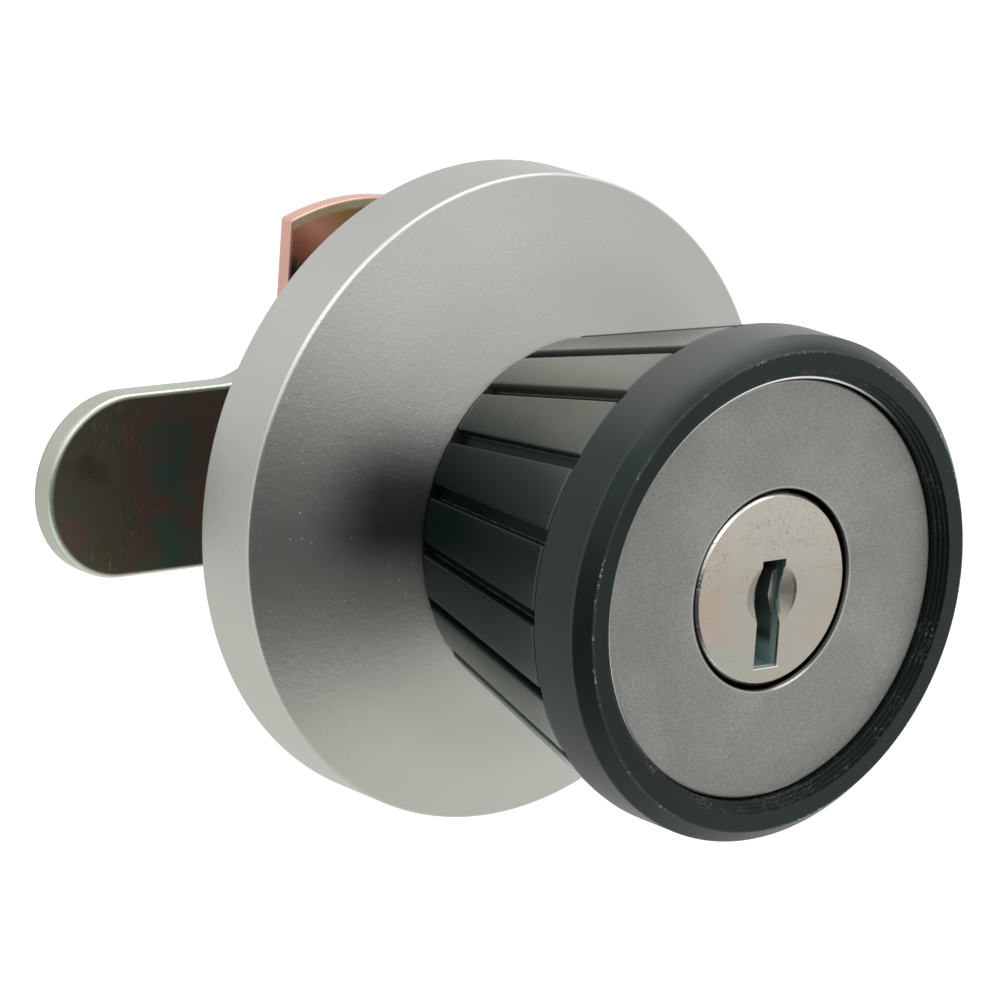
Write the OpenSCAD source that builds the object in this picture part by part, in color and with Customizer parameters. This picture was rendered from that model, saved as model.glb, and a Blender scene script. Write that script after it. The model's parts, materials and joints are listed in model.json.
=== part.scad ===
// Locking knob for a steel cupboard door.
// The model stands in the door's frame: the door's front face is the plane Y = 0,
// the knob points along -Y, +Z is up and the knob's axis is the Y axis.

/* [Rosette] */
// Diameter of the rosette
rosette_d = 52; // [46:0.5:60]
// Height of its cylindrical rim above the door
rim_h = 6; // [4.5:0.25:6.5]
// Height of the rosette's neck above the door
rosette_h = 12.5; // [12.5:0.25:16]
// Wall of the hollow casting
rosette_wall = 2; // [1.5:0.1:2.5]
// Rounding of the rim's front edge
rim_round = 0.45; // [0.2:0.05:0.8]
// Number of ribs inside
rosette_ribs = 6; // [3:1:10]

/* [Grip] */
// Diameter of the grip next to the rosette
grip_rear_d = 29; // [28.6:0.1:31]
// Diameter of the grip next to the front ring
grip_front_d = 39; // [38.6:0.1:44]
// Length of the grip
grip_length = 19.4; // [19:0.2:26]
// Number of grooves
groove_count = 20; // [12:1:26]
// Width of a groove
groove_w = 1.2; // [0.8:0.1:1.6]
// Depth of a groove
groove_depth = 1; // [0.6:0.05:1.05]
// Turn of the first groove from the horizontal, in degrees
groove_turn = 3.4; // [0:0.1:18]

/* [Front ring] */
// Diameter of the front ring
ring_d = 39.1; // [39.1:0.1:44]
// Length of the ring that is seen
ring_length = 5.55; // [5.2:0.05:8]
// Chamfer of the ring, across
ring_chamfer_w = 1.05; // [0.5:0.05:1.2]
// Chamfer of the ring, along the axis
ring_chamfer_l = 1.25; // [0.5:0.05:1.5]
// Steps of the bevel inside the land
bevel_steps = 3; // [1:1:4]
// Bevel inside the land, across
bevel_w = 0.75; // [0.4:0.05:0.95]
// Bevel inside the land, along the axis
bevel_l = 0.75; // [0.4:0.05:0.95]

/* [Core] */
// Diameter of the grey face
face_d = 32.4; // [31.5:0.1:32.6]
// Depth of the face below the ring's land
face_recess = 1.2; // [0.8:0.02:1.4]
// Thickness of the face's flange
face_t = 4.05; // [3.8:0.05:4.5]
// Diameter of the core's barrel
core_d = 26; // [24:0.1:26.4]
// Diameter of the core's rear end
core_rear_d = 20.6; // [19.6:0.1:20.8]
// Thickness of the wall at the core's rear end
end_wall = 2.65; // [2.2:0.05:3]
// Gap round the key plug's head
head_gap = 0.25; // [0.15:0.05:0.4]

/* [Key plug] */
// Diameter of the plug's head
plug_head_d = 15.1; // [14.4:0.1:15.4]
// Length of the plug's head
plug_head_l = 3.4; // [3:0.1:4]
// Diameter of the plug's barrel
plug_d = 13.2; // [13.1:0.05:13.4]
// Diameter of the plug's rear journal
journal_d = 11; // [10.4:0.1:11.6]
// Depth of the plug's face below the grey face
plug_recess = 0.1; // [0:0.05:0.4]
// Bevel round the plug's face
plug_bevel = 0.35; // [0.1:0.05:0.5]
// Top of the key slot above the axis
key_top = 2.26; // [1.8:0.02:2.6]
// Bottom of the key slot below the axis
key_bottom = 6.06; // [5.4:0.02:6.1]
// Width of the key slot
key_w = 2.27; // [2:0.02:2.5]
// Sideways step between the slot's lower and upper part
key_step = 0.15; // [0:0.05:0.5]
// Reach of the ward into the slot
ward_reach = 0.5; // [0.3:0.05:0.9]
// Depth of the ward's front end below the plug's face
ward_depth = 1; // [0.95:0.05:1.6]
// Diameter of the dimple round the slot
dimple_d = 5; // [3:0.1:5.4]
// Diameter of the dimple's floor
dimple_floor_d = 1.2; // [0.6:0.1:2]
// Depth of the dimple
dimple_depth = 0.9; // [0.2:0.05:0.9]
// Height of the dimple's middle
dimple_y = -0.4; // [-0.8:0.1:0.2]

/* [Wafers] */
// Thickness of a wafer
wafer_t = 1; // [0.7:0.05:1.2]
// Spacing of the wafers
wafer_pitch = 2.4; // [2.25:0.05:2.5]
// Width of a wafer
wafer_w = 5.6; // [5.2:0.1:6]
// Travel of a wafer into the core's channel
wafer_travel = 1; // [0.6:0.05:1.02]
// Width of a wafer's spring ledge
ledge_w = 1.5; // [1.3:0.05:1.6]
// Outer diameter of a wafer spring
wafer_spring_d = 1.25; // [1:0.05:1.3]
// Wire of a wafer spring
wafer_wire_d = 0.22; // [0.16:0.02:0.26]

/* [Locking bolt] */
// Width of the bolt
bolt_w = 6.4; // [6.2:0.1:7]
// Thickness of the bolt
bolt_t = 2.4; // [2:0.05:2.6]
// Travel of the bolt
bolt_travel = 1.9; // [1.6:0.05:1.9]
// Diameter of the plug's crank pin
crank_pin_d = 1.8; // [1.4:0.1:1.9]
// Turn of the key plug, in degrees
key_turn = 90; // [60:5:90]

/* [Barrel] */
// Outer diameter of the threaded barrel
barrel_d = 21.8; // [21:0.1:22.4]
// Distance across the barrel's two flats
barrel_flats = 20.4; // [18:0.1:20.5]
// Length of the barrel behind the door's front face
barrel_l = 7.6; // [7.4:0.1:10]
// Diameter of the barrel's flange
flange_d = 25.8; // [25.4:0.1:26.6]
// Thickness of the barrel's flange
flange_t = 2; // [1.6:0.1:3]
// Depth of the flange's front below the neck
flange_drop = 2.1; // [1.9:0.05:2.5]
// Outer diameter of the notched crown
crown_d = 24.5; // [24:0.1:24.6]
// Turn of the knob, in degrees
knob_turn = 90; // [45:5:90]
// Angle that the stop lug takes up
lug_angle = 24; // [16:1:30]

/* [Behind the door] */
// Thickness of the door
door_t = 2.1; // [0.8:0.1:2.2]
// Thickness of the toothed washer
lock_washer_t = 0.8; // [0.6:0.05:1]
// Outer diameter of the toothed washer
lock_washer_d = 30; // [28:0.5:34]
// Length of the toothed washer's teeth
tooth_l = 1.6; // [1:0.1:2]
// Distance across the nut's flats
nut_flats = 27; // [26:0.5:32]
// Thickness of the nut
nut_t = 4.5; // [3:0.1:4.6]

/* [Spindle] */
// Diameter of the spindle
spindle_d = 11.9; // [11:0.1:12.6]
// Side of the square behind the door
square = 8; // [7:0.1:8]
// Side of the square that is riveted into the core
rivet_square = 7; // [6:0.1:7.2]
// Diameter of the thread for the cam screw
screw_d = 6; // [5:0.5:6]
// Distance across the flats of the cam screw's head
screw_flats = 10; // [8:0.5:10]
// Diameter of the flat washer under the cam screw
flat_washer_d = 18; // [14:0.5:22]
// Width of the spring washer's ring
split_w = 2.8; // [2:0.1:3]
// Slit of the spring washer
split_gap = 0.6; // [0.3:0.1:1]

/* [Cam] */
// Door face to the cam's front face
cam_set = 9.5; // [9.5:0.1:14]
// Reach of the cam from the axis
cam_reach = 33.6; // [28:0.2:50]
// Width of the cam's tongue
cam_w = 14.8; // [12:0.2:18]
// Thickness of the cam
cam_t = 2; // [1.5:0.1:3]
// Diameter of the cam's hub
cam_hub_d = 32; // [26:0.5:36]
// Hollow fillet between hub and tongue
cam_fillet = 5.5; // [3:0.1:8]

/* [Rod plate] */
// Cam's back to the rod plate's front
plate_gap = 3.3; // [2:0.1:6]
// Length of the rod plate
plate_l = 40.4; // [36:0.2:60]
// Width of the rod plate
plate_w = 14.8; // [13:0.2:20]
// Thickness of the rod plate
plate_t = 1.5; // [1.2:0.1:2.5]
// Diameter of the holes for the rods
rod_hole_d = 5.2; // [4:0.1:7]
// Edge of the plate to the centre of a rod hole
rod_hole_inset = 5; // [4.5:0.1:7]
// Diameter of the spacer between cam and plate
spacer_d = 16; // [13:0.5:20]

/* [Fits] */
// Radial gap of turning fits
run_gap = 0.05; // [0.02:0.01:0.08]
// Gap of sliding and seated pieces
slide_gap = 0.05; // [0.03:0.01:0.08]
// Gap of loose seats
seat_gap = 0.1; // [0.05:0.01:0.12]
// Gap between the grip and the rosette
turn_gap = 0.25; // [0.15:0.05:0.4]
// Gap between the grip and the front ring
shut_gap = 0.15; // [0.1:0.01:0.3]

/* [Hidden] */
$fn = 96;
eps = 0.01;

// Stations along the axis, counted forward from the door's front face.
z_neck = rosette_h;
z_grip_rear = z_neck + turn_gap;
z_grip_front = z_grip_rear + grip_length;
z_ring_back = z_grip_front + shut_gap;
z_ring_front = z_ring_back + ring_length;
z_face = z_ring_front - face_recess;
z_face_back = z_face - face_t;
z_plug = z_face - plug_recess;
z_head_back = z_plug - plug_head_l;
z_flange = z_neck - flange_drop;
z_seat = z_flange - flange_t;
washer_room = 1.2;
z_core_rear = z_flange + washer_room;
z_slot = z_core_rear + end_wall;
slot_h = bolt_t + 2 * slide_gap;
z_bore_end = z_slot + slot_h;
z_crown = z_bore_end + slide_gap;
clip_room = 0.5;
clip_t = 1;
z_clip = z_crown + clip_room;
web_t = 2;
z_web = z_clip + clip_t;
z_core_step = z_web + web_t;
pin_d = 1.5;
pin_room = 0.15;
z_pin = z_web + 0.15;
z_journal = z_pin + pin_d / 2 + 0.5;
ring_lip_t = 2;
z_lip = z_face_back - ring_lip_t;
ring_spigot_l = 3;
z_spigot = z_ring_back - ring_spigot_l;
z_ring_seat = z_spigot - seat_gap;

// Stations behind the door.
z_washer = -door_t - lock_washer_t;
z_nut = z_washer - nut_t;
z_barrel = -barrel_l;
spindle_clip_t = 1;
z_spindle_clip = z_barrel - run_gap - spindle_clip_t;
z_cam = -cam_set;
z_cam_back = z_cam - cam_t;
z_plate = z_cam_back - plate_gap;
z_plate_back = z_plate - plate_t;
flat_washer_t = 1.6;
z_flat = z_plate_back - flat_washer_t;
split_t = 1.6;
z_split = z_flat - split_t;
screw_head_h = 4;
z_screw = z_split - screw_head_h;
screw_l = 14;

// Radii.
rosette_r = rosette_d / 2;
grip_rear_r = grip_rear_d / 2;
grip_front_r = grip_front_d / 2;
grip_angle = atan((grip_front_r - grip_rear_r) / grip_length);
neck_r = grip_rear_r - 0.3;
face_angle = atan((rosette_h - rim_h) / (rosette_r - neck_r));
seat_r = flange_d / 2 + slide_gap * 4;
barrel_r = barrel_d / 2;
crown_r = crown_d / 2;
core_rear_r = core_rear_d / 2;
crown_bore_r = core_rear_r + 0.3;
grip_bore_r = crown_r + seat_gap;
core_r = core_d / 2;
core_bore_r = core_r + seat_gap;
face_r = face_d / 2;
ring_r = ring_d / 2;
ring_bore_r = face_r + 0.1;
ring_land_r = ring_bore_r + bevel_w;
spigot_r = ring_bore_r + 0.7;
head_bore_r = plug_head_d / 2 + head_gap;
plug_r = plug_d / 2;
plug_bore_r = plug_r + run_gap;
channel_r = head_bore_r - slide_gap;
wafer_r = plug_r - slide_gap;
journal_r = journal_d / 2;
journal_bore_r = journal_r + seat_gap;
spindle_r = spindle_d / 2;
bush_bore_r = spindle_r + run_gap;
key_l = z_plug - z_wafer(4) + wafer_t / 2 + 0.9;

// The plug's crank: the pin swings evenly to both sides of the middle of its stroke.
crank_r = bolt_travel / 2 / sin(key_turn / 2);
crank_room = 0.2;
notch_gap = 0.2;
lug_gap = 0.5;

// Positions of the wafers, the first one next to the plug's head.
function z_wafer(i) = z_head_back - 0.65 - wafer_t - i * wafer_pitch;
wafer_cuts = [2, 4, 1, 3, 2];
cut_step = 0.3;
wafer_x = 0.1;
ledge_h = 1.4;
ledge_y = -0.6;
spring_foot = 4.05;

// Colours.
nickel = [0.77, 0.75, 0.70];
chrome = [0.66, 0.65, 0.63];
black = [0.10, 0.10, 0.10];
cast_grey = [0.58, 0.58, 0.54];
steel = [0.55, 0.55, 0.55];
brass = [0.78, 0.62, 0.33];
passivated = [0.42, 0.40, 0.24];
rust_gold = [0.55, 0.38, 0.22];

// Points of an arc round c, from angle a to angle b.
function arc(c, r, a, b, n = 8) =
    [for (i = [0:n]) c + r * [cos(a + (b - a) * i / n), sin(a + (b - a) * i / n)]];

// Turns the axis of a piece from +Z to the door's outward direction.
module on_axis() rotate([90, 0, 0]) children();

// A cylinder between two stations.
module rod(r, z0, z1) translate([0, 0, z0]) cylinder(r = r, h = z1 - z0);

// A tube between two stations.
module tube(r_out, r_in, z0, z1) {
    difference() {
        rod(r_out, z0, z1);
        rod(r_in, z0 - 1, z1 + 1);
    }
}

// A square bar between two stations.
module bar(side, z0, z1) {
    translate([-side / 2, -side / 2, z0])
        cube([side, side, z1 - z0]);
}

// A round bar with two flats between two stations.
module flatted(r, flats, z0, z1) {
    intersection() {
        rod(r, z0, z1);
        translate([-flats / 2, -r - 1, z0])
            cube([flats, 2 * r + 2, z1 - z0]);
    }
}

// Outer line of the rosette: rim, rounded edge and conical face up to the neck.
function rosette_line() =
    let (
        b = face_angle,
        k = rim_round / tan(45 + b / 2)
    )
    concat(
        [[rosette_r, 0]],
        arc([rosette_r - rim_round, rim_h - k], rim_round, 0, 90 - b),
        [[neck_r, rosette_h]]
    );

module rosette_hollow() {
    b = face_angle;
    hub_r = seat_r + 1.4;
    rim_r = rosette_r - rosette_wall;
    drop = rim_h - rosette_wall / cos(b);
    rotate_extrude()
        polygon([
            [hub_r, -1],
            [rim_r, -1],
            [rim_r, drop + (rosette_r - rim_r) * tan(b)],
            [hub_r, drop + (rosette_r - hub_r) * tan(b)]
        ]);
}

module rosette() {
    color(chrome) on_axis() difference() {
        rotate_extrude()
            polygon(concat([[0, 0]], rosette_line(), [[0, rosette_h]]));
        difference() {
            rosette_hollow();
            for (i = [0:rosette_ribs - 1])
                rotate([0, 0, (i + 0.5) * 360 / rosette_ribs])
                    translate([0, -0.75, 0])
                        cube([rosette_r, 1.5, rosette_h]);
        }
        flatted(barrel_r + seat_gap, barrel_flats + 2 * seat_gap, -1, z_seat + 1);
        rod(seat_r, z_seat, z_neck + 1);
    }
}

// Gap in the crown in which the core's stop lug travels, open to the front.
module lug_gap_cut() {
    half = lug_angle / 2 + lug_gap;
    rotate([0, 0, 270 - knob_turn - half])
        rotate_extrude(angle = knob_turn + 2 * half)
            translate([crown_bore_r - 1, z_core_rear - 0.3])
                square([crown_r - crown_bore_r + 2, z_crown]);
}

// Notch in the crown that takes the bolt at one end of the knob's turn.
module bolt_notch(angle) {
    rotate([0, 0, angle])
        translate([crown_bore_r - 1, -bolt_w / 2 - notch_gap, z_slot - notch_gap / 2])
            cube([crown_r, bolt_w + 2 * notch_gap, z_crown]);
}

module threaded_bush() {
    color(nickel) on_axis() difference() {
        union() {
            flatted(barrel_r, barrel_flats, z_barrel, z_seat + eps);
            rod(flange_d / 2, z_seat, z_flange);
            tube(crown_r, crown_bore_r, z_flange - eps, z_crown);
        }
        rod(bush_bore_r, z_barrel - 1, z_crown);
        lug_gap_cut();
        bolt_notch(90);
        bolt_notch(90 - knob_turn);
    }
}

module lock_washer() {
    teeth = 18;
    tooth_gap = lock_washer_t;
    color(steel) on_axis() difference() {
        tube(lock_washer_d / 2, barrel_r + seat_gap, z_washer, -door_t);
        for (i = [0:teeth - 1])
            rotate([0, 0, i * 360 / teeth])
                translate([lock_washer_d / 2 - tooth_l, -tooth_gap / 2, z_washer - 1])
                    cube([tooth_l * 2, tooth_gap, lock_washer_t + 2]);
    }
}

// Hexagon with chamfered corners between two stations.
module hexagon(flats, z0, z1, chamfer_back, chamfer_front) {
    tip = flats / sqrt(3);
    side = flats / 2;
    rise = (tip - side) * tan(30);
    back = chamfer_back ? rise : 0;
    front = chamfer_front ? rise : 0;
    intersection() {
        translate([0, 0, z0])
            rotate([0, 0, 30])
                cylinder(r = tip, h = z1 - z0, $fn = 6);
        rotate_extrude()
            polygon([
                [0, z0], [chamfer_back ? side - 0.2 : tip + 1, z0],
                [tip + 0.1, z0 + back * 1.1], [tip + 0.1, z1 - front * 1.1],
                [chamfer_front ? side - 0.2 : tip + 1, z1], [0, z1]
            ]);
    }
}

module fixing_nut() {
    color(nickel) on_axis() difference() {
        hexagon(nut_flats, z_nut, z_washer, true, false);
        rod(barrel_r + seat_gap, z_nut - 1, z_washer + 1);
    }
}

module grooves() {
    run = grip_length / cos(grip_angle);
    for (i = [0:groove_count - 1])
        rotate([0, 0, groove_turn + i * 360 / groove_count])
            translate([grip_rear_r, 0, z_grip_rear])
                rotate([0, grip_angle, 0])
                    translate([-groove_depth, -groove_w / 2, -2])
                        cube([groove_depth + 2, groove_w, run + 3]);
}

// Keys inside the grip that turn the core, and the ribs that centre it.
module grip_ribs() {
    key_w_grip = 3;
    key_r = core_r - 1.2;
    for (i = [0:7])
        rotate([0, 0, i * 45])
            translate([i % 4 == 0 ? key_r : core_bore_r, i % 4 == 0 ? -key_w_grip / 2 : -0.8, z_core_step - eps])
                cube([grip_front_r, i % 4 == 0 ? key_w_grip : 1.6, z_ring_seat - 1.2 - z_core_step]);
}

module grip() {
    round_r = 0.3;
    front_hollow_r = spigot_r - 0.7;
    color(black) on_axis() difference() {
        rotate_extrude()
            polygon(concat(
                [[0, z_grip_rear]],
                arc([grip_rear_r - round_r, z_grip_rear + round_r], round_r, 270, 360 - grip_angle, 4),
                [[grip_front_r, z_grip_front], [0, z_grip_front]]
            ));
        rod(grip_bore_r, z_grip_rear - 1, z_web);
        rod(core_rear_r + seat_gap, z_web - 1, z_core_step + 1);
        difference() {
            rotate_extrude()
                polygon([
                    [0, z_core_step], [core_bore_r + 0.5, z_core_step],
                    [front_hollow_r, z_ring_seat + eps], [0, z_ring_seat + eps]
                ]);
            grip_ribs();
        }
        rod(spigot_r + seat_gap, z_ring_seat, z_grip_front + 1);
        grooves();
    }
}

// Stepped bevel from the land down to the ring's bore.
function bevel_line() = [
    for (i = [0:bevel_steps - 1], k = [0:1])
        [
            ring_land_r - (i + k) * bevel_w / bevel_steps,
            z_ring_front - (i + 1) * bevel_l / bevel_steps
        ]
];

module front_ring() {
    color(black) on_axis() rotate_extrude()
        polygon(concat(
            [
                [ring_r, z_ring_back],
                [ring_r, z_ring_front - ring_chamfer_l],
                [ring_r - ring_chamfer_w, z_ring_front],
                [ring_land_r, z_ring_front]
            ],
            bevel_line(),
            [
                [ring_bore_r, z_face_back],
                [core_r + 1, z_face_back],
                [core_r + 1, z_lip],
                [spigot_r - 1.5, z_lip],
                [spigot_r - 1.5, z_spigot],
                [spigot_r, z_spigot],
                [spigot_r, z_ring_back]
            ]
        ));
}

// Channel that a wafer springs into, for one position of the plug.
module wafer_channel(angle) {
    room = 0.15;
    rotate([0, 0, angle - 90]) intersection() {
        rod(channel_r, z_wafer(4) - wafer_t / 2 - 0.3, z_head_back + eps);
        translate([wafer_x - wafer_w / 2 - room, 0, 0])
            cube([wafer_w + 2 * room, channel_r + 1, z_face]);
    }
}

module stop_lug() {
    lug_r = crown_r - 0.15;
    rotate([0, 0, 270 - lug_angle / 2])
        rotate_extrude(angle = lug_angle)
            translate([core_rear_r - 1, z_core_rear])
                square([lug_r - core_rear_r + 1, end_wall - 0.05]);
}

module knob_core() {
    edge = 0.3;
    color(cast_grey) on_axis() difference() {
        union() {
            rotate_extrude()
                polygon(concat(
                    [
                        [0, z_core_rear],
                        [core_rear_r, z_core_rear],
                        [core_rear_r, z_clip],
                        [core_rear_r - 0.5, z_clip],
                        [core_rear_r - 0.5, z_web + slide_gap],
                        [core_rear_r, z_web + slide_gap],
                        [core_rear_r, z_core_step],
                        [core_r, z_core_step],
                        [core_r, z_face_back],
                        [face_r, z_face_back]
                    ],
                    arc([face_r - edge, z_face - edge], edge, 0, 90, 5),
                    [[0, z_face]]
                ));
            stop_lug();
        }
        rod(head_bore_r, z_head_back - run_gap, z_face + 1);
        rod(plug_bore_r, z_journal - run_gap, z_face);
        rod(journal_bore_r, z_bore_end - eps, z_face);
        wafer_channel(90);
        wafer_channel(90 - key_turn);
        translate([-bolt_w / 2 - slide_gap, -bolt_w / 2 - slide_gap * 4, z_slot])
            cube([bolt_w + 2 * slide_gap, core_rear_d, slot_h]);
        bar(rivet_square + slide_gap, z_core_rear - 1, z_slot + eps);
        translate([0, 0, z_slot - 1])
            cylinder(r1 = rivet_square / 2, r2 = rivet_square / 2 + 1.95, h = 1 + eps);
        for (a = [0, 180])
            rotate([0, 0, a])
                translate([core_r - 1.3, -1.55, z_core_step - 1])
                    cube([4, 3.1, z_face_back - z_core_step + 1]);
        rotate([0, 0, 225])
            translate([0, 0, z_pin])
                rotate([0, 90, 0])
                    cylinder(d = pin_d, h = core_rear_r + 1);
    }
}

// Open circlip between two stations, with its ears at the given angle.
module circlip(r_in, width, z0, z1, angle) {
    ear_r = 1.25;
    rotate([0, 0, angle]) difference() {
        union() {
            tube(r_in + width, r_in, z0, z1);
            for (s = [-1, 1])
                rotate([0, 0, s * 12])
                    translate([r_in + width - ear_r * 0.4, 0, z0])
                        cylinder(r = ear_r, h = z1 - z0);
        }
        rod(r_in, z0 - 1, z1 + 1);
        translate([0, -0.9, z0 - 1])
            cube([r_in + width + 4, 1.8, z1 - z0 + 2]);
        for (s = [-1, 1])
            rotate([0, 0, s * 12])
                translate([r_in + width - ear_r * 0.4, 0, z0 - 1])
                    cylinder(r = 0.5, h = z1 - z0 + 2);
    }
}

module core_circlip() {
    color(steel) on_axis()
        circlip(core_rear_r - 0.5 + slide_gap / 2, 1.5, z_clip, z_web, 45);
}

module plug_pin() {
    color(steel) on_axis() rotate([0, 0, 225])
        translate([journal_r - 0.8 + pin_room, 0, z_pin])
            rotate([0, 90, 0])
                cylinder(d = pin_d, h = core_rear_r - 0.6 - (journal_r - 0.8 + pin_room));
}

module spindle() {
    color(steel) on_axis() difference() {
        union() {
            rod(spindle_r, z_cam, z_core_rear);
            bar(square, z_plate_back + 0.3, z_cam + eps);
            bar(rivet_square, z_core_rear - eps, z_slot - 0.1);
            translate([0, 0, z_slot - 1])
                cylinder(r1 = rivet_square / 2 - 0.05, r2 = rivet_square / 2 + 1.7, h = 0.9);
        }
        tube(spindle_r + 1, spindle_r - 0.45, z_spindle_clip, z_spindle_clip + spindle_clip_t + run_gap / 2);
        rod(screw_d / 2 + slide_gap, z_plate_back - 1, z_split + screw_l + 0.5);
    }
}

// Conical spring washer that takes up the end play, resting on the core.
module dished_washer() {
    t = 0.5;
    rise = washer_room - t - run_gap;
    r0 = spindle_r + 0.2;
    r1 = core_rear_r - 0.2;
    color(steel) on_axis() rotate_extrude()
        polygon([
            [r0, z_core_rear - t], [r0, z_core_rear],
            [r0 + 0.3, z_core_rear], [r1, z_core_rear - rise],
            [r1, z_core_rear - rise - t], [r1 - 0.3, z_core_rear - rise - t]
        ]);
}

module spindle_circlip() {
    color(steel) on_axis()
        circlip(spindle_r - 0.45 + slide_gap / 2, 1.6, z_spindle_clip, z_spindle_clip + spindle_clip_t, 90);
}

// The cam: round hub, tongue with a full-round end, and hollow fillets that touch both.
module cam() {
    half = cam_w / 2;
    tip_x = half - cam_reach;
    hub_r = cam_hub_d / 2;
    fillet_y = half + cam_fillet;
    fillet_x = sqrt(pow(hub_r + cam_fillet, 2) - pow(fillet_y, 2));
    web_y = hub_r * fillet_y / (hub_r + cam_fillet);
    color(passivated) on_axis() difference() {
        union() {
            rod(hub_r, z_cam_back, z_cam);
            difference() {
                translate([-fillet_x, -web_y, z_cam_back])
                    cube([fillet_x, 2 * web_y, cam_t]);
                for (s = [-1, 1])
                    translate([-fillet_x, s * fillet_y, z_cam_back - 1])
                        cylinder(r = cam_fillet, h = cam_t + 2);
            }
            translate([tip_x, -half, z_cam_back])
                cube([-tip_x, cam_w, cam_t]);
            translate([tip_x, 0, 0])
                rod(half, z_cam_back, z_cam);
        }
        bar(square + 2 * slide_gap, z_cam_back - 1, z_cam + 1);
    }
}

module cam_spacer() {
    color(steel) on_axis() difference() {
        rod(spacer_d / 2, z_plate, z_cam_back);
        bar(square + 2 * slide_gap, z_plate - 1, z_cam_back + 1);
    }
}

module rod_plate() {
    color(rust_gold) on_axis() difference() {
        intersection() {
            rod(plate_l / 2, z_plate_back, z_plate);
            translate([-plate_w / 2, -plate_l / 2, z_plate_back])
                cube([plate_w, plate_l, plate_t]);
        }
        bar(square + 2 * slide_gap, z_plate_back - 1, z_plate + 1);
        for (s = [-1, 1])
            translate([0, s * (plate_l / 2 - rod_hole_inset), z_plate_back - 1])
                cylinder(d = rod_hole_d, h = plate_t + 2);
    }
}

module flat_washer() {
    color(steel) on_axis()
        tube(flat_washer_d / 2, screw_d / 2 + 2 * seat_gap, z_flat, z_plate_back);
}

module spring_washer() {
    color(steel) on_axis() difference() {
        tube(screw_d / 2 + seat_gap + split_w, screw_d / 2 + seat_gap, z_split, z_flat);
        translate([screw_d / 3, -split_gap / 2, z_split - split_t / 2])
            rotate([15, 0, 0])
                cube([split_w * 2, split_gap, split_t * 2]);
    }
}

module cam_screw() {
    color(steel) on_axis() {
        hexagon(screw_flats, z_screw, z_split, true, false);
        rod(screw_d / 2, z_split - eps, z_split + screw_l);
    }
}

// Section of the key slot: a lower and an upper part, one a step beside the other.
module key_section() {
    translate([-key_w / 2, -key_bottom])
        square([key_w, key_bottom - 0.9]);
    translate([-key_w / 2 + key_step, -1])
        square([key_w, key_top + 1]);
}

// Section of the ward, a low ridge along the slot's right wall.
module ward_section() {
    wall = key_w / 2;
    polygon([
        [wall + 1, -5], [wall - ward_reach, -0.75],
        [wall - ward_reach / 2, 1], [wall + 1, 1.85]
    ]);
}

module wafer_slot(i) {
    z = z_wafer(i);
    t = wafer_t + 2 * slide_gap;
    pocket_t = wafer_spring_d + 4 * slide_gap;
    x0 = wafer_x - wafer_w / 2;
    translate([x0 - slide_gap, -plug_r - 1, z - t / 2])
        cube([wafer_w + 2 * slide_gap, plug_d + 2, t]);
    translate([x0 - ledge_w - 3 * slide_gap, -spring_foot - slide_gap, z - pocket_t / 2])
        cube([ledge_w + 3 * slide_gap + eps, spring_foot + ledge_y + ledge_h + wafer_travel + 0.3, pocket_t]);
}

module key_plug() {
    crank = 180 + key_turn / 2;
    color(nickel) on_axis() difference() {
        union() {
            rotate_extrude()
                polygon([
                    [0, z_bore_end + 0.15],
                    [journal_r, z_bore_end + 0.15],
                    [journal_r, z_pin - pin_d / 2 - pin_room],
                    [journal_r - 0.8, z_pin - pin_d / 2 - pin_room],
                    [journal_r - 0.8, z_pin + pin_d / 2 + pin_room],
                    [journal_r, z_pin + pin_d / 2 + pin_room],
                    [journal_r, z_journal],
                    [plug_r, z_journal],
                    [plug_r, z_head_back],
                    [plug_head_d / 2, z_head_back],
                    [plug_head_d / 2, z_plug - plug_bevel],
                    [plug_head_d / 2 - plug_bevel, z_plug],
                    [0, z_plug]
                ]);
            rotate([0, 0, crank])
                translate([crank_r, 0, z_slot + 0.2])
                    cylinder(d = crank_pin_d, h = slot_h);
        }
        translate([0, 0, z_plug - key_l])
            linear_extrude(key_l - ward_depth + eps)
                difference() {
                    key_section();
                    ward_section();
                }
        translate([0, 0, z_plug - ward_depth])
            linear_extrude(ward_depth + 1)
                key_section();
        translate([key_step, dimple_y, z_plug - dimple_depth])
            cylinder(d1 = dimple_floor_d, d2 = dimple_d, h = dimple_depth + eps);
        for (i = [0:4])
            wafer_slot(i);
    }
}

// A wafer: plate with ends round like the plug, a window for the key and a spring ledge.
module wafer(i) {
    x0 = wafer_x - wafer_w / 2;
    rim = 1.05;
    color(brass) on_axis() translate([0, 0, z_wafer(i) - wafer_t / 2]) linear_extrude(wafer_t) {
        difference() {
            intersection() {
                circle(r = wafer_r);
                translate([x0, -plug_r])
                    square([wafer_w, plug_d]);
            }
            translate([x0 + rim, -key_bottom + 0.5 + wafer_cuts[i] * cut_step])
                square([wafer_w - 2 * rim, key_bottom + key_top - 0.6]);
        }
        translate([x0 - ledge_w, ledge_y])
            square([ledge_w + 0.1, ledge_h]);
    }
}

// Points of a helical wire with flat closed ends, one ring of sides per step.
function coil_ring(r, wire, h, turns, t, sides) =
    let (a = 360 * turns * t)
    [for (k = [0:sides - 1]) let (b = 360 * k / sides) [
        (r + wire * cos(b)) * cos(a),
        (r + wire * cos(b)) * sin(a),
        wire + (h - 2 * wire) * t + wire * sin(b)
    ]];

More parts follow.
